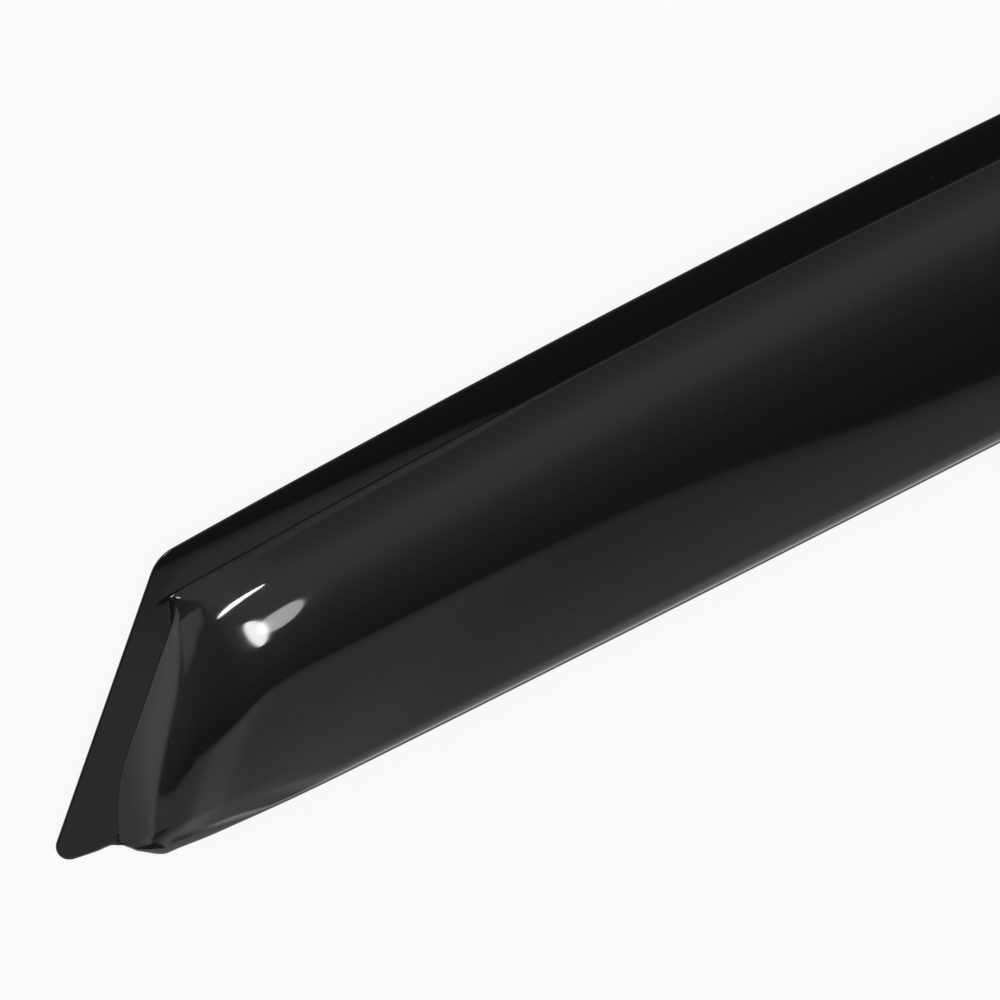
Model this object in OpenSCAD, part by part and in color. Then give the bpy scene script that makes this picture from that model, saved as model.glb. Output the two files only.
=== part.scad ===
// Window rain deflector: one smoke-tinted acrylic sheet, moulded into a long shallow dome
// with a flat mounting flange along its top edge and both ends, and an open lower edge.
// It lies on the back of its flange. X runs along it, Y across it towards the top edge,
// and Z is how far a point stands out from the door. All sizes are in millimetres.

/* [Size] */
// Overall length, from the pointed end to the square end
length = 567.2; // [440:0.1:700]
// Width across the middle, from the top edge to the lower edge
width = 89.4; // [80:0.5:105]
// Thickness of the acrylic sheet
sheet = 3; // [2.2:0.1:3.4]

/* [Outline] */
// Radius of the bow of the top edge, which follows the door frame
top_bow_r = 5300; // [3000:50:9000]
// Radius of the bow of the lower edge
lower_bow_r = 16500; // [8000:100:40000]
// Angle between the pointed end and the length
pointed_angle = 43.7; // [38:0.1:60]
// Angle between the square end and the length
square_angle = 82; // [70:0.5:90]
// Radius of the two corners at the ends of the top edge
top_corner_r = 14; // [8:0.5:20]
// Radius of the two corners at the lower ends of the flange
tip_r = 4; // [2:0.1:5]
// Height of the flange's lower ends above the line of the lower edge
tongue_lift = 13.4; // [8:0.1:14]
// Angle at which the flange's lower ends are cut
tongue_cut = 7.5; // [0:0.5:9]

/* [Flange] */
// Width of the flange along the top edge
top_flange = 12.3; // [10:0.1:18]
// Width of the flange along the ends
end_flange = 11.3; // [9:0.1:15]

/* [Dome] */
// Height of the dome's crest above the flange
dome_rise = 16.5; // [13:0.5:22]
// Length of the hollow curve at the foot of the top wall
top_foot = 3; // [2.5:0.5:8]
// Distance from the flange to where the top wall has run out into the face
top_wall = 51; // [42:1:56]
// How far the face falls back from its crest to the lower edge
face_fall = 7; // [3:0.5:8]
// Steepness of the end walls
end_slope = 43.5; // [38:0.5:48]
// Length of the hollow curve at the foot of the end walls
end_foot = 1; // [1:0.5:5]
// How far the foot of an end wall bends inward on its way down to the notch
foot_bend = 5.3; // [0:0.1:7]
// Size of the rounded knee where an end wall meets the dome's shoulder
knee = 2.5; // [2:0.5:7]
// Distance from the flange to where the shoulder has risen to the full dome
shoulder_run = 46; // [28:1:50]

/* [Lower edge] */
// How far the lip wraps back towards the door at the two closed lower corners
wrap_depth = 6.5; // [4:0.5:7]
// Width of the band that wraps back
wrap_band = 8.5; // [8:0.5:12]
// Length, from an end wall's foot, over which the wrap fades into the plain edge
wrap_run = 42; // [30:1:60]
// Radius of the rolled lower edge
lip_round = 2.4; // [0.6:0.1:2.4]
// Radius of the sheet's edges round the flange
edge_round = 0.8; // [0.4:0.1:1]

/* [Hidden] */
half = length / 2;
notch_gap = 2; // how far inside an end wall's foot the S-shaped step of the notch begins
notch_run = 11.6; // length of that step, between a tongue and the lower edge
notch_share = 0.93; // share of the step that is made in the notch, the rest in the wrap
cut_run = 6; // distance over which the cut of the lower edge settles square to the sheet
wrap_power = 2.4; // how late the wrap turns down: 2 is a plain parabola
round_steps = 2; // steps in each rounded edge
bend_run = 22; // distance above a tongue over which the foot of the end wall bends
wall_ease = 1.95; // how gently the top wall runs out into the face
shoulder_drop = 0.52; // share of the dome's height that is missing at an end wall's foot
shoulder_ease = 2; // how gently the shoulder runs out into the full dome
roll_size = min(lip_round, 0.8 * sheet); // the rolled edge keeps inside the sheet's thickness
back_round = 0.15 * sheet; // largest radius of the sheet's edges on the back
crown_start = 33; // distance from the flange at which the face begins to fall
tint = [0.04, 0.04, 0.045];

wall_reach = dome_rise * (1 - shoulder_drop * 0.7) / tan(end_slope); // rough plan width of an end wall

// Sampling of the surface: steps along the length and across it
tip_steps = 6;
flange_steps = 2;
end_foot_steps = 3;
end_wall_steps = 2;
knee_steps = 6;
shoulder_steps = 8;
run_out_steps = 3;
middle_steps = 12;
rim_steps = 3;
foot_steps = 4;
face_steps = 18;
band_steps = 7;
solve_steps = 40;
probe = 0.01; // distance used to measure the slope of the surface

function ease(t) = let (c = max(0, min(1, t))) c * c * (3 - 2 * c);

function mix(a, b, t) = a + (b - a) * t;

// A wall that leaves flat ground in a hollow curve of length foot, is steepest there,
// and runs out level at distance run. Its height goes from 0 to 1.
function wall(d, foot, run) =
    let (
        full = foot / 2 + (run - foot) / (wall_ease + 1),
        t = max(0, min(1, (d - foot) / (run - foot)))
    )
    d <= 0 ? 0
    : d < foot ? d * d / (2 * foot) / full
    : (foot / 2 + (run - foot) / (wall_ease + 1) * (1 - pow(1 - t, wall_ease + 1))) / full;

// Outline. Each end is worked out in its own terms: q is the distance along the length
// from that end's sharp corner, and a is the end's angle. The sheet's face stops short of
// the outline all round, and the rounded edge makes up the rest.
function top_y(x) = width - x * x / (2 * top_bow_r);
function bow_y(x) = x * x / (2 * lower_bow_r);
corner_y = bow_y(half) + tongue_lift;

// Distance of a point inside the edge line of an end
function inset(q, y, a) = q * sin(a) - (y - corner_y) * cos(a);

// How far an end wall's foot has bent inward at a height y above the lower edge
function foot_shift(y) = foot_bend * pow(max(0, 1 - max(0, y - corner_y) / bend_run), 2);

// How much of that bend a line across the sheet follows, at distance e inside an end
function bend_share(e, a) =
    let (tip = tip_reach(a), last = end_flange + shoulder_run + wrap_run / 2)
    max(0, min(1, (e - tip) / (end_flange - tip), (last - e) / (wrap_run / 2)));

// How far the lower edge has left a tongue, from 0 to 1, at a distance inside the end
function step_down(e) =
    let (start = end_flange + notch_gap, bottom = start + notch_run)
    notch_share * ease((e - start) / notch_run)
    + (1 - notch_share) * ease((e - bottom) / (wrap_run - notch_run));

function tongue_y(q, a) =
    let (
        e = q * sin(a),
        cut_q = min(q, end_flange / sin(a)),
        drop = cut_q * tan(tongue_cut)
    )
    mix(tongue_lift - drop, 0, step_down(e));

function low_round(x) =
    let (
        left = step_down((half + x) * sin(pointed_angle)),
        right = step_down((half - x) * sin(square_angle))
    )
    mix(edge_round, roll_size, min(left, right));

// Share of the wrapped lip that is left at a distance along the length from one end
function wrap_share(q, a) = 1 - ease((q * sin(a) - end_flange - notch_run) / wrap_run);

// How far the rolled edge reaches past the face in plan. A steep lip hides more of it.
face_slope = 2 * face_fall / (width - top_flange - crown_start);
wrap_slope = wrap_depth * wrap_power / wrap_band * (1 - 0.7 * shoulder_drop);
function roll_reach(q, a) =
    let (
        e = q * sin(a),
        past_notch = ease((e - end_flange - notch_gap - notch_run) / notch_run),
        slope = face_slope + past_notch * wrap_share(q, a) * wrap_slope,
        reach = roll_size * (1 - slope / norm([1, slope]))
    )
    mix(edge_round, reach, step_down(e));
function low_y(x) =
    bow_y(x) + tongue_y(half + x, pointed_angle) + tongue_y(half - x, square_angle)
    + min(roll_reach(half + x, pointed_angle), roll_reach(half - x, square_angle));
function rim_y(x) = top_y(x) - edge_round;

// Where the line at distance e inside an end crosses the edge y(q), found by repetition
function cross_top(e, a, q = 0, n = solve_steps) =
    n == 0 ? q : cross_top(e, a, (e + (rim_y(half - q) - corner_y) * cos(a)) / sin(a), n - 1);
function cross_low(e, a, q = 0, n = solve_steps) =
    n == 0 ? q : cross_low(e, a, (e + (end_low_y(q, a) - corner_y) * cos(a)) / sin(a), n - 1);
function sharp_top(a, q = 0, n = solve_steps) =
    n == 0 ? q : sharp_top(a, (top_y(half - q) - corner_y) * cos(a) / sin(a), n - 1);
function end_low_y(q, a) = bow_y(half - q) + tongue_y(q, a) + roll_reach(q, a);

// Rounded corner at the foot of a tongue: a point at distance e inside the end
function tip_point(e, a) =
    let (
        opening = a + tongue_cut,
        face_r = tip_r - edge_round,
        turn = acos(max(-1, min(1, 1 - (e - edge_round) / face_r))),
        centre_out = tip_r / sin(opening / 2),
        bisector = (a - tongue_cut) / 2,
        cq = centre_out * cos(bisector),
        cy = corner_y + centre_out * sin(bisector),
        out = a + 90 + turn
    )
    [cq + face_r * cos(out), cy + face_r * sin(out)];
function tip_reach(a) = edge_round + (tip_r - edge_round) * (1 + cos(a + tongue_cut));

// Rounded corner between an end and the top edge: a point at distance e inside the end
function top_corner_point(e, a) =
    let (
        q = sharp_top(a),
        y = top_y(half - q),
        rise = atan((half - q) / top_bow_r),
        opening = 180 - a + rise,
        face_r = top_corner_r - edge_round,
        turn = acos(max(-1, min(1, 1 - (e - edge_round) / face_r))),
        centre_in = top_corner_r / sin(opening / 2),
        bisector = (a + rise) / 2 - 90,
        cq = q + centre_in * cos(bisector),
        cy = y + centre_in * sin(bisector),
        out = a + 90 - turn
    )
    [cq + face_r * cos(out), cy + face_r * sin(out)];
function top_corner_reach(a) =
    let (rise = atan((half - sharp_top(a)) / top_bow_r))
    edge_round + (top_corner_r - edge_round) * (1 - cos(a - rise));

// One line across the sheet at distance e inside an end: its lower end, its top end and
// how strongly it bends with the foot of the end wall
function end_line(e, a) =
    let (
        bend = bend_share(e, a),
        ql = cross_low(e + foot_bend * bend, a),
        qt = cross_top(e, a),
        low = e < tip_reach(a) ? tip_point(e, a) : [ql, end_low_y(ql, a)],
        top = e < top_corner_reach(a) ? top_corner_point(e, a) : [qt, rim_y(half - qt)]
    )
    [low, top, bend / sin(a)];

function end_distances(a) =
    let (
        reach = tip_reach(a),
        opening = 180 - a - tongue_cut,
        foot = end_flange + end_foot,
        knee_low = end_flange + 0.6 * wall_reach,
        knee_high = end_flange + 1.5 * wall_reach,
        full = end_flange + shoulder_run
    )
    concat(
        [
            for (i = [0:tip_steps])
                edge_round + (tip_r - edge_round) * (1 - cos(opening * i / tip_steps))
        ],
        [for (i = [1:flange_steps]) mix(reach, end_flange, i / flange_steps)],
        [for (i = [1:end_foot_steps]) mix(end_flange, foot, i / end_foot_steps)],
        [for (i = [1:end_wall_steps]) mix(foot, knee_low, i / end_wall_steps)],
        [for (i = [1:knee_steps]) mix(knee_low, knee_high, i / knee_steps)],
        [for (i = [1:shoulder_steps]) mix(knee_high, full, pow(i / shoulder_steps, 1.2))],
        [for (i = [1:run_out_steps]) full + wrap_run / 2 * i / run_out_steps]
    );

pointed_lines = [
    for (e = end_distances(pointed_angle))
        let (l = end_line(e, pointed_angle))
        [[l[0][0] - half, l[0][1]], [l[1][0] - half, l[1][1]], l[2]]
];
square_lines = [
    for (e = end_distances(square_angle))
        let (l = end_line(e, square_angle))
        [[half - l[0][0], l[0][1]], [half - l[1][0], l[1][1]], -l[2]]
];
function middle_line(t) =
    let (
        from = pointed_lines[len(pointed_lines) - 1],
        to = square_lines[len(square_lines) - 1],
        xl = mix(from[0][0], to[0][0], t),
        xt = mix(from[1][0], to[1][0], t)
    )
    [[xl, low_y(xl)], [xt, rim_y(xt)], 0];
lines = concat(
    pointed_lines,
    [for (i = [1:middle_steps - 1]) middle_line(i / middle_steps)],
    [for (i = [len(square_lines) - 1:-1:0]) square_lines[i]]
);

// Places along one line, measured down from its top end
function distances_down(span) =
    let (foot = top_flange + top_foot, band = span - wrap_band)
    concat(
        [for (i = [0:rim_steps]) top_flange * i / rim_steps],
        [for (i = [1:foot_steps]) mix(top_flange, foot, i / foot_steps)],
        [for (i = [1:face_steps]) mix(foot, band, pow(i / face_steps, 1.1))],
        [for (i = [1:band_steps]) mix(band, span, i / band_steps)]
    );
function line_points(l) =
    let (span = l[1][1] - l[0][1])
    [
        for (d = distances_down(span))
            let (t = d / span, p = mix(l[1], l[0], t), inside = t > 0.001 && t < 0.999)
            [p[0] + (inside ? l[2] * (foot_shift(p[1]) - foot_bend * t) : 0), p[1]]
    ];

// Height of the outer surface over the plan
function face(d) =
    dome_rise * wall(d, top_foot, top_wall)
    - face_fall * pow(max(0, d - crown_start) / (width - top_flange - crown_start), 2);

// Share of the height that is left in the wrapped lip near one end
function wrap(x, y, q, a) =
    let (
        into_band = max(0, 1 - (y - low_y(x)) / wrap_band),
        loss = wrap_depth / (dome_rise - face_fall) * wrap_share(q, a)
    )
    1 - loss * pow(into_band, wrap_power);

// An end wall: a short hollow curve, then a straight slope
function steep(d) =
    tan(end_slope) * (d <= 0 ? 0 : d < end_foot ? d * d / (2 * end_foot) : d - end_foot / 2);

// The dome comes down towards each end in a soft shoulder
function shoulder(d) =
    1 - shoulder_drop * pow(1 - max(0, min(1, d / shoulder_run)), shoulder_ease);

// The lower of two heights, with the join between them rounded off
function join(a, b) =
    let (size = max(0.001, min(knee, 2 * min(a, b))), near = max(0, size - abs(a - b)))
    max(0, min(a, b) - near * near / (4 * size));

function height(x, y) =
    let (
        d = top_y(x) - y - top_flange,
        left = inset(half + x, y, pointed_angle) - end_flange - foot_shift(y),
        right = inset(half - x, y, square_angle) - end_flange - foot_shift(y),
        lip = wrap(x, y, half + x, pointed_angle) * wrap(x, y, half - x, square_angle),
        dome = face(d) * lip * shoulder(left) * shoulder(right)
    )
    sheet + join(dome, min(steep(left), steep(right)));

// Square to the outer surface. Next to the lower edge it never points up the sheet, so that
// the sheet's back doesn't show past its front in the notch.
function outward(x, y) =
    let (
        dx = (height(x + probe, y) - height(x - probe, y)) / (2 * probe),
        rise = (height(x, y + probe) - height(x, y - probe)) / (2 * probe),
        dy = rise < 0 ? rise * ease((y - low_y(x)) / cut_run) : rise
    )
    [-dx, -dy, 1] / norm([dx, dy, 1]);

plan = [for (l = lines) line_points(l)];
columns = len(plan);
rows = len(plan[0]);
normals = [for (c = plan) for (p = c) outward(p[0], p[1])];
outer = [for (c = plan) for (p = c) [p[0], p[1], height(p[0], p[1])]];
inner = [for (k = [0:len(outer) - 1]) outer[k] - sheet * normals[k]];
function at(i, j) = i * rows + j;

// The face's border, once round, and the rounded edge that is carried along it
border = concat(
    [for (i = [0:columns - 2]) at(i, 0)],
    [for (j = [0:rows - 2]) at(columns - 1, j)],
    [for (i = [columns - 1:-1:1]) at(i, rows - 1)],
    [for (j = [rows - 1:-1:1]) at(0, j)]
);
laps = len(border);
function unit(v) = v / norm(v);
function side(k) =
    let (
        ahead = outer[border[(k + 1) % laps]],
        behind = outer[border[(k + laps - 1) % laps]]
    )
    unit(cross(normals[border[k]], ahead - behind));
function is_low(k) = border[k] % rows == rows - 1;
function rounding(k) =
    let (p = outer[border[k]]) is_low(k) ? low_round(p[0]) : edge_round;
turns = concat(
    [for (i = [1:round_steps]) [1, 90 * i / round_steps]],
    [for (i = [round_steps:-1:0]) [-1, 90 * i / round_steps]]
);
edge = [
    for (t = turns) for (k = [0:laps - 1])
        let (
            r = rounding(k),
            back_r = min(back_round, r / 2),
            out = t[0] > 0 ? r * sin(t[1]) : r - back_r + back_r * sin(t[1]),
            depth = t[0] > 0 ? r * (1 - cos(t[1])) : sheet - back_r * (1 - cos(t[1]))
        )
        outer[border[k]] + out * side(k) - depth * normals[border[k]]
];

// The frame's origin is at the middle of the outline's box, in the plane of the flange's back
edge_x = [for (p = edge) p[0]];
edge_y = [for (p = edge) p[1]];
centre = [(min(edge_x) + max(edge_x)) / 2, (min(edge_y) + max(edge_y)) / 2, 0];

module sheet_solid() {
    count = len(outer);
    skin = [
        for (i = [0:columns - 2]) for (j = [0:rows - 2])
            each [
                [at(i, j), at(i + 1, j + 1), at(i, j + 1)],
                [at(i, j), at(i + 1, j), at(i + 1, j + 1)]
            ]
    ];
    rings = concat(
        [border],
        [for (i = [0:len(turns) - 1]) [for (k = [0:laps - 1]) 2 * count + i * laps + k]],
        [[for (k = border) k + count]]
    );
    rim = [
        for (i = [0:len(rings) - 2]) for (k = [0:laps - 1])
            let (next = (k + 1) % laps)
            each [
                [rings[i][k], rings[i + 1][next], rings[i][next]],
                [rings[i][k], rings[i + 1][k], rings[i + 1][next]]
            ]
    ];
    polyhedron(
        points = [for (p = concat(outer, inner, edge)) p - centre],
        faces = concat(
            skin,
            [for (f = skin) [f[2] + count, f[1] + count, f[0] + count]],
            rim
        )
    );
}

module visor() {
    color(tint) sheet_solid();
}

visor();
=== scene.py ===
import math

import bmesh
import bpy
from mathutils import Matrix, Vector


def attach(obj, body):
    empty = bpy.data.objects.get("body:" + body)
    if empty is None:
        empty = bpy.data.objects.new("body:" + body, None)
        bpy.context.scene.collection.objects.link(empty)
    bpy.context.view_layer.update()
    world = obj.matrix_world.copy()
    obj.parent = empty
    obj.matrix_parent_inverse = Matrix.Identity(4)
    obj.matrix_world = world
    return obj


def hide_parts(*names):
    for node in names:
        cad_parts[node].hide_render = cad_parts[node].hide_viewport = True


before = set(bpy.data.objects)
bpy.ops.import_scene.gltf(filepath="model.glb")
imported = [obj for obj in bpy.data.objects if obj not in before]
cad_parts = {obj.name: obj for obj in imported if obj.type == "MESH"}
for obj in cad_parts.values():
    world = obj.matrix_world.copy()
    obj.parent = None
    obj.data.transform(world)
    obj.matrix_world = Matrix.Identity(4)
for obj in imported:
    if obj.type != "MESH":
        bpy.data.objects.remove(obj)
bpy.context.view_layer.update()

# The visor: one sheet of very dark smoke-tinted acrylic, 3 mm thick, softened by heat and
# moulded into a long shallow dome. Its flat flange, along the top edge and both ends, is held
# on the door's window frame. The lower edge is trimmed, rolled and left open.

# Its outline. Sizes are in millimetres: x runs along the visor, from its middle, and y across
# it, up from the lower edge. Both long edges bow upwards.
length = 567.2
half = length / 2
width = 89.4
sheet = 3.0
top_bow_r = 5300.0
lower_bow_r = 16500.0


def top_y(x):
    return width - x * x / (2 * top_bow_r)


def bow_y(x):
    return x * x / (2 * lower_bow_r)


def ease(t):
    """Goes softly from 0 to 1, and stays there."""
    c = max(0.0, min(1.0, t))
    return c * c * (3 - 2 * c)


def mix(a, b, t):
    return a + (b - a) * t


# One end is slanted and the other nearly square. At both, the flange reaches down past the
# dome as a tongue, and an S-shaped notch beside it leads down to the rolled lip. A place near
# an end is given by q, its distance along the length from the end's corner, or by e, its
# distance inside the end's edge.
pointed_angle = math.radians(43.7)
square_angle = math.radians(82.0)
end_flange = 11.3
tongue_lift = 13.4
tongue_cut = math.radians(7.5)
notch_gap = 2.0
notch_run = 11.6
notch_share = 0.93
wrap_run = 42.0
corner_y = bow_y(half) + tongue_lift


def inset(q, y, angle):
    """Distance inside an end's edge."""
    return q * math.sin(angle) - (y - corner_y) * math.cos(angle)


def step_down(e):
    """How far the lower edge has left the flange's tongue and come down to the rolled lip."""
    start = end_flange + notch_gap
    bottom = start + notch_run
    notch = notch_share * ease((e - start) / notch_run)
    return notch + (1 - notch_share) * ease((e - bottom) / (wrap_run - notch_run))


def tongue_y(q, angle):
    """How far the lower edge lies above its bow."""
    cut = min(q, end_flange / math.sin(angle)) * math.tan(tongue_cut)
    return mix(tongue_lift - cut, 0.0, step_down(q * math.sin(angle)))


def past_tongues(x):
    left = step_down((half + x) * math.sin(pointed_angle))
    right = step_down((half - x) * math.sin(square_angle))
    return min(left, right)


# The top flange's outer face is very slightly bowed in, beside the slanted end's dome. It
# comes level again just before the dome, and over bow_fade, a third of the way along.
top_flange = 12.3
flange_crest = 4.5
flange_bow = 0.0048
bow_end = 1.6
bow_inset = 4.0
bow_rise = 8.0
bow_reach = 0.36 * length
bow_fade = 70.0


def bow(x, d, e):
    """How far the flange's outer face is bowed in, d below the flange."""
    deep = flange_bow * (min(0.0, d) + top_flange - flange_crest) ** 2
    if d > flange_crest - top_flange:
        deep *= ease((e - bow_inset) / bow_rise)
        deep *= 1 - ease((half + x - bow_reach) / bow_fade + 0.5)
    return deep * max(0.0, 1 - max(0.0, d) / bow_end) ** 2


# The dome rises from the top flange by a hollow foot and a long rounded wall. From its crown
# the face falls back a little, down to the lower edge.
dome_rise = 16.5
top_wall = 51.0
wall_ease = 1.95
near_foot = 0.6
near_start = 76.0
near_run = 24.0
top_foot = 3.0
far_foot = 1.0
far_start = 160.0
far_run = 60.0
face_fall = 7.0
crown_start = 33.0


def top_wall_share(x, d):
    """Share of the dome's height that the top wall has reached, d below the flange. Its
    hollow foot is tight at the slanted corner, and again far from it."""
    foot = mix(near_foot, top_foot, ease((half + x - near_start) / near_run))
    foot = mix(foot, far_foot, ease((half + x - far_start) / far_run))
    run = (top_wall - foot) / (wall_ease + 1)
    full = foot / 2 + run
    if d <= 0:
        return 0.0
    if d < foot:
        return d * d / (2 * foot) / full
    t = min(1.0, (d - foot) / (top_wall - foot))
    return (foot / 2 + run * (1 - (1 - t) ** (wall_ease + 1))) / full


# Towards each end the dome's shoulder slopes down to a steep, slightly rounded wall. A knee
# joins the two. The wall's foot bends inward on its way to the notch, and reaches out a
# little at the top corner.
shoulder_run = 46.0
shoulder_drop = 0.52
shoulder_ease = 2.0
end_rise = math.tan(math.radians(42.6))
end_foot = 0.3
end_bulge = 0.05
bulge_stop = 2.0
foot_bend = 5.3
bend_run = 22.0
bend_past = 5.0
ear_reach = 3.6
ear_span = 8.0
ear_power = 1.3
knee = 2.5
knee_share = 2.0
corner_knee_share = 0.4
knee_fade = 20.0
knee_height = 1 - 0.7 * shoulder_drop
knee_start = 0.6 * dome_rise * knee_height / end_rise
knee_end = 2.5 * knee_start


def shoulder(e):
    return 1 - shoulder_drop * (1 - max(0.0, min(1.0, e / shoulder_run))) ** shoulder_ease


def end_wall(e):
    if e <= 0:
        return 0.0
    run = e * e / (2 * end_foot) if e < end_foot else e - end_foot / 2
    return end_rise * run * (1 - end_bulge * min(bulge_stop, e / knee_start))


def foot_shift(y, past):
    """How far the wall's foot has bent inward. It goes on bending for a way past the corner."""
    return foot_bend * max(0.0, 1 - max(-past, y - corner_y) / bend_run) ** 2


# The lip: at the two closed lower corners the face wraps back towards the door, and this
# runs out along the lower edge. The last few millimetres curl over into the rolled edge.
wrap_depth = 4.2
wrap_band = 8.5
wrap_power = 2.2
curl_drop = 0.2
curl_run = 3.8
lip_round = 2.4
edge_round = 0.8


def wrap_share(q, angle):
    return 1 - ease((q * math.sin(angle) - end_flange - notch_run) / wrap_run)


def roll_reach(q, angle):
    """How far the rolled edge reaches past the face in plan; a steep lip hides more of it."""
    past_notch = ease((q * math.sin(angle) - end_flange - notch_gap - notch_run) / notch_run)
    steep = wrap_depth * wrap_power / wrap_band * knee_height
    slope = 2 * face_fall / (width - top_flange - crown_start) + 2 * curl_drop / curl_run
    slope += past_notch * wrap_share(q, angle) * steep
    reach = lip_round * (1 - slope / math.hypot(1, slope))
    return mix(edge_round, reach, step_down(q * math.sin(angle)))


def low_y(x):
    tongues = tongue_y(half + x, pointed_angle) + tongue_y(half - x, square_angle)
    reach = min(roll_reach(half + x, pointed_angle), roll_reach(half - x, square_angle))
    return bow_y(x) + tongues + reach


def end_low_y(q, angle):
    return bow_y(half - q) + tongue_y(q, angle) + roll_reach(q, angle)


def wrap(x, y, q, angle):
    """Share of the face's height that is left in the lip."""
    into_band = max(0.0, 1 - (y - low_y(x)) / wrap_band)
    loss = wrap_depth / (dome_rise - face_fall) * wrap_share(q, angle)
    return 1 - loss * into_band ** wrap_power


def height(x, y):
    """How far the outer face stands out from the door at a place on the plan."""
    d = top_y(x) - y - top_flange
    foot = end_flange + foot_shift(y, bend_past)
    left = inset(half + x, y, pointed_angle) - foot
    right = inset(half - x, y, square_angle) - foot
    fall = max(0.0, d - crown_start) / (width - top_flange - crown_start)
    face = dome_rise * top_wall_share(x, d) - face_fall * fall ** 2
    face -= curl_drop * past_tongues(x) * max(0.0, 1 - (y - low_y(x)) / curl_run) ** 2
    face *= wrap(x, y, half + x, pointed_angle) * wrap(x, y, half - x, square_angle)
    face *= shoulder(left) * shoulder(right)
    ear = ear_reach * max(0.0, 1 - max(0.0, d) / ear_span) ** ear_power
    wall = end_wall(min(left, right) + ear)
    size = mix(corner_knee_share, knee_share, ease(d / knee_fade)) * min(face, wall)
    size = max(0.001, min(knee, size))
    near = max(0.0, size - abs(face - wall))
    return sheet - bow(x, d, left + foot) + max(0.0, min(face, wall) - near * near / (4 * size))


cut_run = 6.0
probe = 0.01


def outward(x, y):
    """Square to the outer face. Next to the lower edge it never points up the sheet, so that
    the sheet's back doesn't show past its front in the notch."""
    dx = (height(x + probe, y) - height(x - probe, y)) / (2 * probe)
    dy = (height(x, y + probe) - height(x, y - probe)) / (2 * probe)
    if dy < 0:
        dy *= ease((y - low_y(x)) / cut_run)
    return Vector((-dx, -dy, 1)).normalized()


# The mesh's lines run from the lower to the top edge. Those next to an end run parallel to
# it, and follow its rounded corners and the bend of its wall's foot.
tip_r = 4.0
top_corner_r = 14.0
tip_steps = 12
middle_steps = 80


def tip_point(e, angle):
    """Place on the rounded corner at the foot of a tongue."""
    face_r = tip_r - edge_round
    turn = math.acos(max(-1.0, min(1.0, 1 - (e - edge_round) / face_r)))
    centre_out = tip_r / math.sin((angle + tongue_cut) / 2)
    bisector = (angle - tongue_cut) / 2
    out = angle + math.pi / 2 + turn
    return (centre_out * math.cos(bisector) + face_r * math.cos(out),
            corner_y + centre_out * math.sin(bisector) + face_r * math.sin(out))


def top_corner_point(e, angle):
    """Place on the rounded corner between an end and the top edge, and where the round stops."""
    q = 0.0
    for _ in range(40):
        q = (top_y(half - q) - corner_y) * math.cos(angle) / math.sin(angle)
    climb = math.atan((half - q) / top_bow_r)
    face_r = top_corner_r - edge_round
    turn = math.acos(max(-1.0, min(1.0, 1 - (e - edge_round) / face_r)))
    centre_in = top_corner_r / math.sin((math.pi - angle + climb) / 2)
    bisector = (angle + climb - math.pi) / 2
    out = angle + math.pi / 2 - turn
    stop = edge_round + face_r * (1 - math.cos(angle - climb))
    return (q + centre_in * math.cos(bisector) + face_r * math.cos(out),
            top_y(half - q) + centre_in * math.sin(bisector) + face_r * math.sin(out), stop)


def tip_stop(angle):
    return edge_round + (tip_r - edge_round) * (1 + math.cos(angle + tongue_cut))


def bend_share(e, angle):
    """How much of the foot's bend a line e inside an end follows."""
    tip = tip_stop(angle)
    last = end_flange + shoulder_run + wrap_run / 2
    return max(0.0, min(1.0, (e - tip) / (end_flange - tip), (last - e) / (wrap_run / 2)))


def end_line(e, angle):
    """Lower and top end of the line that runs parallel to an end, e inside its edge."""
    q_low = q_top = 0.0
    e_low = e + foot_bend * bend_share(e, angle)
    for _ in range(40):
        q_low = (e_low + (end_low_y(q_low, angle) - corner_y) * math.cos(angle)) / math.sin(angle)
        top = top_y(half - q_top) - edge_round
        q_top = (e + (top - corner_y) * math.cos(angle)) / math.sin(angle)
    low = (q_low, end_low_y(q_low, angle))
    top = (q_top, top_y(half - q_top) - edge_round)
    if e < tip_stop(angle):
        low = tip_point(e, angle)
    corner = top_corner_point(e, angle)
    return (low, corner[:2] if e < corner[2] else top)


def spread(stations, steps):
    """Places between stations, with the given number of steps in each stretch."""
    places = [stations[0]]
    for a, b, n in zip(stations, stations[1:], steps):
        places += [mix(a, b, k / n) for k in range(1, n + 1)]
    return places


def end_places(angle):
    opening = math.pi - angle - tongue_cut
    tip = [edge_round + (tip_r - edge_round) * (1 - math.cos(opening * k / tip_steps))
           for k in range(tip_steps + 1)]
    stations = [tip[-1], end_flange, end_flange + end_foot, end_flange + knee_start,
                end_flange + knee_end, end_flange + shoulder_run,
                end_flange + shoulder_run + wrap_run / 2]
    return tip[:-1] + spread(stations, [8, 6, 7, 20, 16, 8])


pointed_lines = [[(q - half, y) for q, y in end_line(e, pointed_angle)]
                 + [bend_share(e, pointed_angle) / math.sin(pointed_angle)]
                 for e in end_places(pointed_angle)]
square_lines = [[(half - q, y) for q, y in end_line(e, square_angle)]
                + [-bend_share(e, square_angle) / math.sin(square_angle)]
                for e in end_places(square_angle)]
middle_lines = []
for k in range(1, middle_steps):
    x_low = mix(pointed_lines[-1][0][0], square_lines[-1][0][0], k / middle_steps)
    x_top = mix(pointed_lines[-1][1][0], square_lines[-1][1][0], k / middle_steps)
    middle_lines.append([(x_low, low_y(x_low)), (x_top, top_y(x_top) - edge_round), 0.0])
lines = pointed_lines + middle_lines + square_lines[::-1]


def places_down(span):
    """Places along a line, down from its top end: flange, hollow foot, dome and lip."""
    flange = top_flange - edge_round
    foot = flange + top_foot
    band = span - wrap_band
    stations = [0, flange - 0.1, flange, foot, mix(foot, band, 0.5), band, span]
    return spread(stations, [8, 1, 8, 28, 18, 20])


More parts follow.
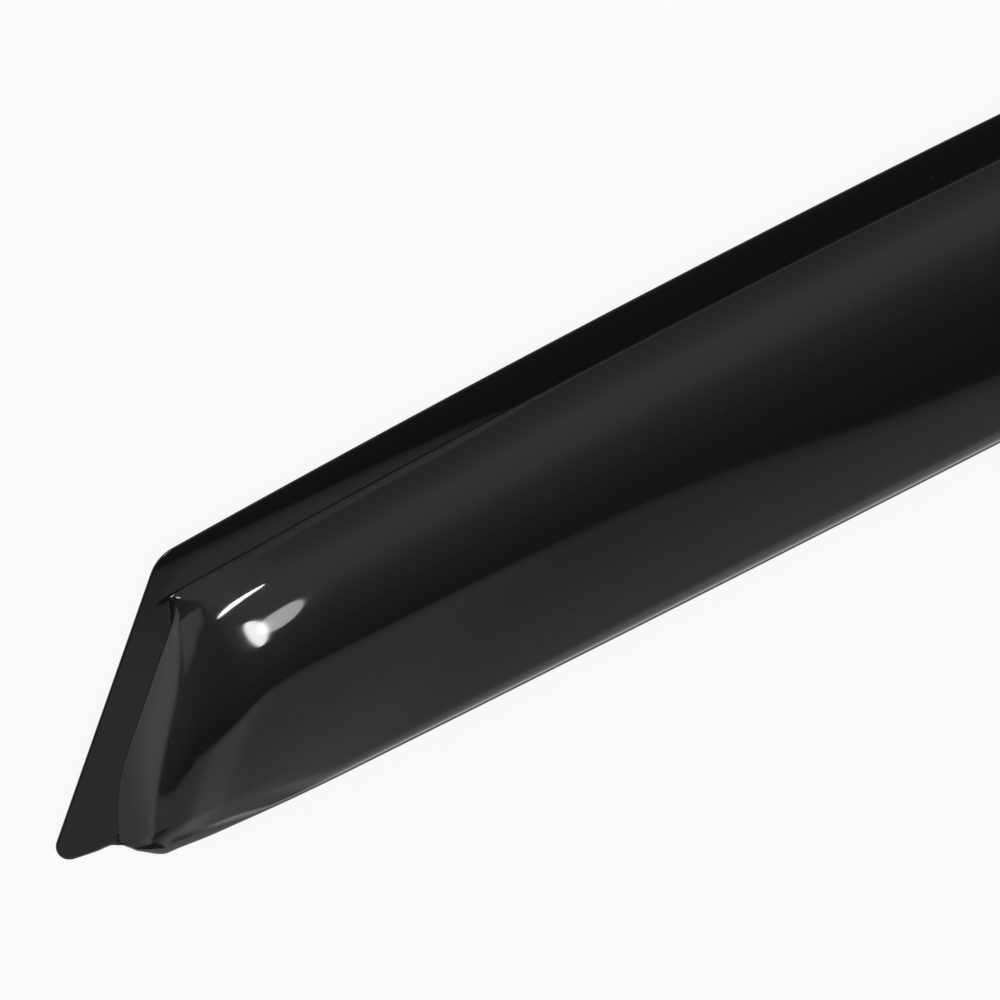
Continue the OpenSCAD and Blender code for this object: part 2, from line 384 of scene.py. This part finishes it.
columns, rows = len(lines) - 1, len(places_down(width)) - 1
visor_mesh = bmesh.new()
bmesh.ops.create_grid(visor_mesh, x_segments=columns, y_segments=rows, size=1)
number_of = visor_mesh.verts.layers.int.new("number")
outer, normals, roundings = [], [], []
for v in visor_mesh.verts:
    column = round((v.co.x + 1) / 2 * columns)
    row = round((1 - v.co.y) / 2 * rows)
    low, top, bend = lines[column]
    t = places_down(top[1] - low[1])[row] / (top[1] - low[1])
    x, y = mix(top[0], low[0], t), mix(top[1], low[1], t)
    if 0 < row < rows:
        x += bend * (foot_shift(y, 0.0) - foot_bend * t)
    v[number_of] = len(outer)
    outer.append(Vector((x, y, height(x, y))))
    normals.append(outward(x, y))
    roundings.append(mix(edge_round, lip_round, past_tongues(x)) if row == rows else edge_round)
    v.co = outer[-1]

# The inner face is a copy of the outer one, one sheet thickness further in. The flange's
# back is flat against the door.
inner = bmesh.ops.duplicate(visor_mesh, geom=visor_mesh.faces[:])["geom"]
for v in (g for g in inner if isinstance(g, bmesh.types.BMVert)):
    v.co = outer[v[number_of]] - sheet * normals[v[number_of]]
    v.co.z = max(0.0, v.co.z)
inner_faces = [g for g in inner if isinstance(g, bmesh.types.BMFace)]

# The rounded edge is drawn out of the outer face's border in steps, round to the inner face.
# The round is large on the front of the lip and small on its back.
back_round = 0.15 * sheet
front_turns = [(1, degrees) for degrees in range(10, 100, 10)]
back_turns = [(-1, degrees) for degrees in range(90, -30, -30)] + [(0, 0)]
inner_edges = {e for f in inner_faces for e in f.edges}
border = [e for e in visor_mesh.edges if e.is_boundary and e not in inner_edges]
side = {}
for v in {v for e in border for v in e.verts}:
    beside = [e.other_vert(v).co for e in v.link_edges if e.is_boundary]
    out = normals[v[number_of]].cross(beside[0] - beside[1]).normalized()
    inward = sum((f.calc_center_median() for f in v.link_faces), Vector()) / len(v.link_faces)
    side[v[number_of]] = -out if out.dot(inward - v.co) > 0 else out
for way, degrees in front_turns + back_turns:
    ring = bmesh.ops.extrude_edge_only(visor_mesh, edges=border)["geom"]
    border = [g for g in ring if isinstance(g, bmesh.types.BMEdge) and g.is_boundary]
    sine, fall = math.sin(math.radians(degrees)), 1 - math.cos(math.radians(degrees))
    for v in {v for e in border for v in e.verts}:
        k = v[number_of]
        front_r = roundings[k]
        back_r = min(back_round, front_r / 2)
        if way > 0:
            past, below = front_r * sine, front_r * fall
        elif way < 0:
            past, below = front_r - back_r + back_r * sine, sheet - back_r * fall
        else:
            past, below = 0, sheet
        v.co = outer[k] + past * side[k] - below * normals[k]
        v.co.z = max(0.0, v.co.z)
bmesh.ops.remove_doubles(visor_mesh, verts=visor_mesh.verts[:], dist=0.0005)
bmesh.ops.recalc_face_normals(visor_mesh, faces=visor_mesh.faces[:])

# Into the frame: metres, with the origin in the middle of the outline.
xs = [v.co.x for v in visor_mesh.verts]
ys = [v.co.y for v in visor_mesh.verts]
middle = Vector(((min(xs) + max(xs)) / 2, (min(ys) + max(ys)) / 2, 0))
bmesh.ops.translate(visor_mesh, vec=-middle, verts=visor_mesh.verts[:])
bmesh.ops.scale(visor_mesh, vec=(0.001, 0.001, 0.001), verts=visor_mesh.verts[:])
visor_data = bpy.data.meshes.new("acrylic_visor")
visor_mesh.to_mesh(visor_data)
visor_mesh.free()
for polygon in visor_data.polygons:
    polygon.use_smooth = True
visor = bpy.data.objects.new("acrylic_visor", visor_data)
bpy.context.scene.collection.objects.link(visor)

acrylic = bpy.data.materials.new("smoke_acrylic")
acrylic.use_nodes = True
nodes, links = acrylic.node_tree.nodes, acrylic.node_tree.links
shader = nodes["Principled BSDF"]
shader.inputs["IOR"].default_value = 1.49


def node(kind, inputs, **settings):
    """A new node in the tree in hand. An input is a plain value or another node's output."""
    new = nodes.new("ShaderNode" + kind)
    for name, value in settings.items():
        setattr(new, name, value)
    for name, value in inputs.items():
        if isinstance(value, bpy.types.NodeSocket):
            links.new(value, new.inputs[name])
        else:
            new.inputs[name].default_value = value
    return new


def rise(value, low, high):
    """Goes softly from 0 at low to 1 at high."""
    ends = {"Value": value, "From Min": low, "From Max": high}
    return node("MapRange", ends, interpolation_type="SMOOTHSTEP").outputs["Result"]


# The flange lies on the door and looks black. The raised dome gets a lighter base colour: a
# painted glow that stands in for light coming through the smoke tint.
flange_black = (0.0012, 0.0012, 0.0013, 1)
dome_painted_glow = (0.0058, 0.0058, 0.0062, 1)
here = node("TexCoord", {}).outputs["Object"]
apart = node("SeparateXYZ", {"Vector": here})
# Painted glow: where the sheet stands 3 to 5 mm or more off the door, its base colour turns
# lighter.
glow_share = rise(apart.outputs["Z"], 0.0030, 0.0050)
smoke_and_painted_glow = node("Mix", {"Factor": glow_share, "A": flange_black, "B": dome_painted_glow}, data_type="RGBA")

# A few grains of dust, and a faint haze of fine scratches from wiping.
dust_grey = (0.02, 0.02, 0.02, 1)
dust = node("TexNoise", {"Vector": here, "Scale": 900, "Detail": 0})
grain = node("MapRange", {"Value": dust.outputs["Fac"], "From Min": 0.84, "From Max": 0.90})
dust_over_painted_glow = node("Mix", {"Factor": grain.outputs["Result"], "A": smoke_and_painted_glow.outputs["Result"],
                     "B": dust_grey}, data_type="RGBA")
links.new(dust_over_painted_glow.outputs["Result"], shader.inputs["Base Color"])
haze = node("TexNoise", {"Vector": here, "Scale": 60, "Detail": 4})
gloss = node("MapRange", {"Value": haze.outputs["Fac"], "From Min": 0.3, "From Max": 0.7,
                          "To Min": 0.03, "To Max": 0.06})
links.new(gloss.outputs["Result"], shader.inputs["Roughness"])

# The slight unevenness that moulding leaves in the gloss.
ripple = node("TexNoise", {"Vector": here, "Scale": 22, "Detail": 1})
moulded = node("Bump", {"Height": ripple.outputs["Fac"], "Strength": 0.5, "Distance": 0.00002})
links.new(moulded.outputs["Normal"], shader.inputs["Normal"])
visor_data.materials.append(acrylic)
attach(visor, "root")
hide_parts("visor")

# The floor: a plain white studio floor, a hair below the visor's back so that the two don't
# touch. It keeps the visor's shadow, and what looks straight at it, or mirrors it, sees white.
floor_drop = 0.0003
floor_white = (0.85, 0.85, 0.85, 1)
floor_mesh = bmesh.new()
bmesh.ops.create_grid(floor_mesh, x_segments=1, y_segments=1, size=30)
bmesh.ops.translate(floor_mesh, vec=(0, 0, -floor_drop), verts=floor_mesh.verts[:])
floor_data = bpy.data.meshes.new("studio_floor")
floor_mesh.to_mesh(floor_data)
floor_mesh.free()
floor = bpy.data.objects.new("studio_floor", floor_data)
bpy.context.scene.collection.objects.link(floor)
white = bpy.data.materials.new("white_floor")
white.use_nodes = True
nodes, links = white.node_tree.nodes, white.node_tree.links
matt = nodes["Principled BSDF"]
matt.inputs["Base Color"].default_value = floor_white
matt.inputs["Roughness"].default_value = 0.9


def number(operation, *values):
    """One step of arithmetic. A value is a plain number or another node's output."""
    return node("Math", dict(enumerate(values)), operation=operation).outputs[0]


path = node("LightPath", {})
seen = number("MAXIMUM", path.outputs["Is Camera Ray"], path.outputs["Is Glossy Ray"])
seen = number("MAXIMUM", seen, path.outputs["Is Transmission Ray"])
glow = node("Emission", {"Strength": 1})
floor_look = node("MixShader", {0: number("MULTIPLY", seen, 0.9), 1: matt.outputs[0],
                                2: glow.outputs[0]})
links.new(floor_look.outputs[0], nodes["Material Output"].inputs["Surface"])
floor_data.materials.append(white)

# The studio round the visor, as its gloss mirrors it: a large white cloth to the lower left,
# which ends in a sharp edge overhead, a low softbox along the near side, and a dimmer room.
# Places in it are angles from straight up, in degrees: lean_x towards the visor's square end,
# and lean_y towards its top edge.
studio = bpy.data.worlds.new("studio")
bpy.context.scene.world = studio
studio.use_nodes = True
nodes, links = studio.node_tree.nodes, studio.node_tree.links
backdrop = nodes["Background"]


def curve(angle, *points):
    """A smooth curve through points, over an angle from -100 to 100 degrees."""
    step = nodes.new("ShaderNodeFloatCurve")
    step.mapping.use_clip = False
    track = step.mapping.curves[0]
    while len(track.points) < len(points):
        track.points.new(0.5, 0.5)
    for point, (at, value) in zip(track.points, points):
        point.location = ((at + 100) / 200, value)
        point.handle_type = "AUTO_CLAMPED"
    step.mapping.update()
    links.new(number("MULTIPLY_ADD", angle, 0.005, 0.5), step.inputs["Value"])
    return step.outputs[0]


def blend(first, second, share):
    """From the first value to the second, by a share from 0 to 1."""
    return number("ADD", first, number("MULTIPLY", number("SUBTRACT", second, first), share))


apart = node("SeparateXYZ", {"Vector": node("TexCoord", {}).outputs["Generated"]})
up = number("MINIMUM", number("MAXIMUM", apart.outputs["Z"], -1.0), 1.0)
lean = number("MULTIPLY", number("ARCCOSINE", up), 180 / math.pi)
squares = [number("POWER", apart.outputs[axis], 2.0) for axis in ("X", "Y")]
level = number("MAXIMUM", number("SQRT", number("ADD", *squares)), 1e-6)
lean_x = number("MULTIPLY", number("DIVIDE", apart.outputs["X"], level), lean)
lean_y = number("MULTIPLY", number("DIVIDE", apart.outputs["Y"], level), lean)

# The room brightens towards its ceiling lights and dims again to the horizon. On the left its
# dark part ends at the edge of a lit ceiling.
ceiling_white = 0.88
ceiling_blur = 1.8
right_room = curve(lean_y, (-100, 0.05), (-20, 0.05), (-10, 0.09), (0, 0.11), (5, 0.14),
                   (10, 0.17), (15, 0.19), (20, 0.25), (25, 0.30), (30, 0.35), (35, 0.42),
                   (40, 0.52), (45, 0.62), (50, 0.66), (55, 0.68), (60, 0.71), (65, 0.66),
                   (70, 0.57), (80, 0.40), (90, 0.32), (100, 0.30))
left_room = curve(lean_y, (-100, 0.12), (5, 0.12), (10, 0.14), (15, 0.18), (20, 0.20),
                  (30, 0.25), (40, 0.28), (50, 0.33), (100, 0.33))
ceiling_edge = curve(lean_x, (-100, 0.55), (-60, 0.55), (-55, 0.515), (-50, 0.50), (-45, 0.50),
                     (-40, 0.515), (-30, 0.53), (-27, 0.535), (-24, 0.555), (-22, 0.57),
                     (-18, 0.60), (100, 0.60))
on_ceiling = number("SUBTRACT", lean_y, number("MULTIPLY", ceiling_edge, 100))
left_room = blend(left_room, ceiling_white, rise(on_ceiling, -ceiling_blur, ceiling_blur))
room = blend(left_room, right_room, rise(lean_x, -22, -15))

# The cloth: the place of its edge, and how bright it is, across its folds and down them.
cloth_edge = curve(lean_x, (-100, 0.40), (-75, 0.33), (-65, 0.245), (-55, 0.16), (-45, 0.08),
                   (-35, 0.03), (-30, 0.005), (-27, -0.01), (-25, 0.006), (-23, -0.005),
                   (-21, -0.005), (-19, 0.003), (-17, 0.018), (-15, 0.04), (-13, 0.055),
                   (-11, 0.048), (-9, 0.04), (-7, 0.028), (-5, 0.008), (-3, -0.01),
                   (-1, -0.03), (1, -0.053), (3, -0.082), (5, -0.125), (7, -0.17),
                   (9, -0.206), (11, -0.228), (20, -0.35), (40, -0.60), (100, -1.1))
beyond = number("SUBTRACT", lean_y, number("MULTIPLY", cloth_edge, 100))
fold = number("SUBTRACT", lean_x, number("MULTIPLY_ADD", lean_y, 0.16, 2.4))
across = curve(fold, (-100, 0.65), (-33, 0.62), (-27, 0.62), (-25, 0.65), (-23, 0.78),
               (-21, 1.0), (-19, 0.98), (-17, 0.82), (-15, 0.68), (-13, 0.63), (-7, 0.61),
               (-3, 0.58), (-1, 0.50), (1, 0.42), (20, 0.38), (100, 0.38))
down = curve(lean_y, (-100, 1.3), (-60, 1.55), (-45, 1.7), (-30, 1.45), (-20, 1.12),
             (-10, 0.95), (0, 0.93), (20, 1.0), (100, 1.1))
hem = blend(1.0, 0.62, rise(beyond, -4, 0))
cloth = number("MULTIPLY", number("MULTIPLY", across, down), hem)

# The low softbox, the bright wall behind it, and the dark corner of the studio beside it.
softbox_light = 4.5
corner_light = 0.1
cloth_blur = 0.7
softbox_end = rise(lean_x, -29, -20)
softbox = number("MULTIPLY", softbox_end, number("SUBTRACT", 1.0, rise(lean_y, -79, -72)))
cloth = number("ADD", cloth, number("MULTIPLY", softbox, softbox_light))
near_wall = curve(lean_y, (-100, 4.0), (-64, 3.6), (-52, 2.0), (-42, 0.7), (-36, 0), (100, 0))
cloth = number("ADD", cloth, number("MULTIPLY", near_wall, rise(lean_x, -18, -4)))
dark_edge = curve(lean_y, (-100, 0.27), (-75, 0.27), (-65, 0.29), (-55, 0.33), (-45, 0.38),
                  (-30, 0.45), (-10, 0.50), (-2, 0.53), (4, 0.75), (10, 1.1), (100, 1.2))
past_edge = number("MULTIPLY_ADD", dark_edge, 100, lean_x)
dark = number("SUBTRACT", 1.0, rise(past_edge, -8, 2))
radiance = blend(cloth, room, rise(beyond, -cloth_blur, cloth_blur))
radiance = blend(radiance, corner_light, dark)

# A bright upright panel at the far left.
panel = curve(lean_x, (-100, 0.70), (-76, 0.70), (-72, 0.66), (-70.5, 0.74), (-69, 0.86),
              (-67.5, 1.0), (-66, 1.1), (-64, 1.05), (-62, 0.85), (-60, 0.55), (-58, 0.4),
              (100, 0.4))
panel_side = number("SUBTRACT", 1.0, rise(lean_x, -62, -57))
radiance = blend(radiance, panel, number("MULTIPLY", panel_side, rise(lean_y, -2, 8)))
backdrop.inputs["Color"].default_value = (1, 1, 1, 1)
links.new(radiance, backdrop.inputs["Strength"])


# The lamps, whose images are the bright marks on the dome's slanted corner. Each is set by the
# place that mirrors it, its distance from there, the angles of the mirrored ray, the angles
# it spans, its turn from the X axis, its radiance and how widely it shines.
def lamp(name, mirrored_at, distance, out_x, out_y, wide, high, turn, light_out, beam=180):
    light = bpy.data.lights.new(name, "AREA")
    light.spread = math.radians(beam)
    light.shape = "ELLIPSE"
    light.size, light.size_y = (distance * math.radians(angle) for angle in (wide, high))
    light.energy = light_out * math.pi * light.size * light.size_y * math.pi / 4
    tilt = math.hypot(out_x, out_y)
    level_part, up_part = math.sin(math.radians(tilt)), math.cos(math.radians(tilt))
    out = Vector((out_x / tilt * level_part, out_y / tilt * level_part, up_part))
    step = Vector((math.cos(math.radians(turn)), math.sin(math.radians(turn)), 0))
    across_lamp = (step - step.dot(out) * out).normalized()
    facing = Matrix((across_lamp, out.cross(across_lamp), out)).transposed().to_4x4()
    stand = bpy.data.objects.new(name, light)
    stand.matrix_world = Matrix.Translation(Vector(mirrored_at) + distance * out) @ facing
    bpy.context.scene.collection.objects.link(stand)


lamp("window_lamp", (-0.191, 0.006, 0.0155), 2.0, -16.5, 41.0, 2.4, 16, 0, 22)
lamp("window_side_lamp", (-0.188, 0.006, 0.0155), 2.0, -13.6, 42.0, 5, 11, 0, 8)
lamp("strip_lamp", (-0.1946, 0.0154, 0.0105), 0.06, -17.7, 60.0, 24, 1.6, 52, 0.6, 17)

# The camera looks straight down on the slanted end, from 0.8 m above the door, and is turned
# so that the visor rises to the right. At the door it sees a square of 305 mm.
camera_height = 0.8
seen_width = 0.305
lens = bpy.data.cameras.new("camera")
lens.sensor_width = 36
lens.lens = lens.sensor_width * camera_height / seen_width
camera = bpy.data.objects.new("camera", lens)
camera.location = (-0.11225, 0.0084, camera_height)
camera.rotation_euler = (0, 0, math.radians(-27))
bpy.context.scene.collection.objects.link(camera)
bpy.context.scene.camera = camera
bpy.context.scene.view_settings.view_transform = "Standard"
